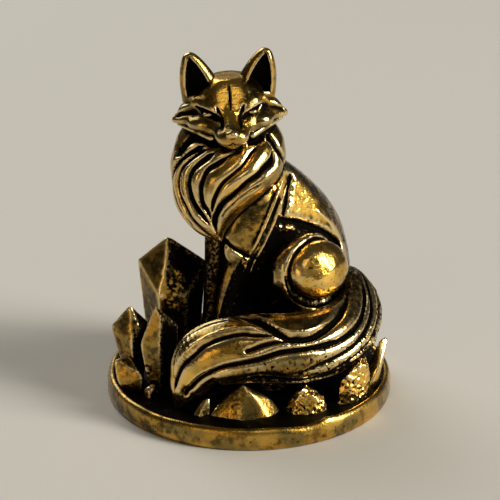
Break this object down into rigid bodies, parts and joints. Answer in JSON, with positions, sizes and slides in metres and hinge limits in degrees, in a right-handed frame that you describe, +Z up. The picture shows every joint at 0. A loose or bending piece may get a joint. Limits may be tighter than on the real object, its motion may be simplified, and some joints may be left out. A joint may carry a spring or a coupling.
{
  "type": "fox figurine",
  "caption": "Small antiqued brass ornament of a seated fox with its brush swept round the front, on a round rimmed plinth with faceted crystals and rocks.",
  "frame": {"origin": "middle of the plinth's underside, where the figurine rests", "axes": "+Z up; the fox's face looks along -Y, and its left side is at +X"},
  "size_m": [0.0354, 0.0354, 0.0441],
  "materials": {
    "plinth_brass": "satin, dark patina in the dish",
    "fox_brass": "polished high spots, black-brown patina in the grooves",
    "crystal_brass": "satin facets, dark patina",
    "rock_brass": "rough cast, pitted, dark patina"
  },
  "bodies": {
    "root": {"base_plate": "plinth_brass", "torso": "fox_brass", "chest_ruff": "fox_brass", "head": "fox_brass", "left_ear": "fox_brass", "right_ear": "fox_brass", "left_foreleg": "fox_brass", "right_foreleg": "fox_brass", "left_haunch": "fox_brass", "right_haunch": "fox_brass", "tail": "fox_brass", "tall_crystal": "crystal_brass", "left_crystal": "crystal_brass", "front_crystal": "crystal_brass", "low_crystal": "crystal_brass", "crystal_chip": "crystal_brass", "front_rock": "rock_brass", "small_front_rock": "rock_brass", "right_front_rock": "rock_brass", "long_right_rock": "rock_brass", "right_shard": "rock_brass"}
  },
  "joints": []
}
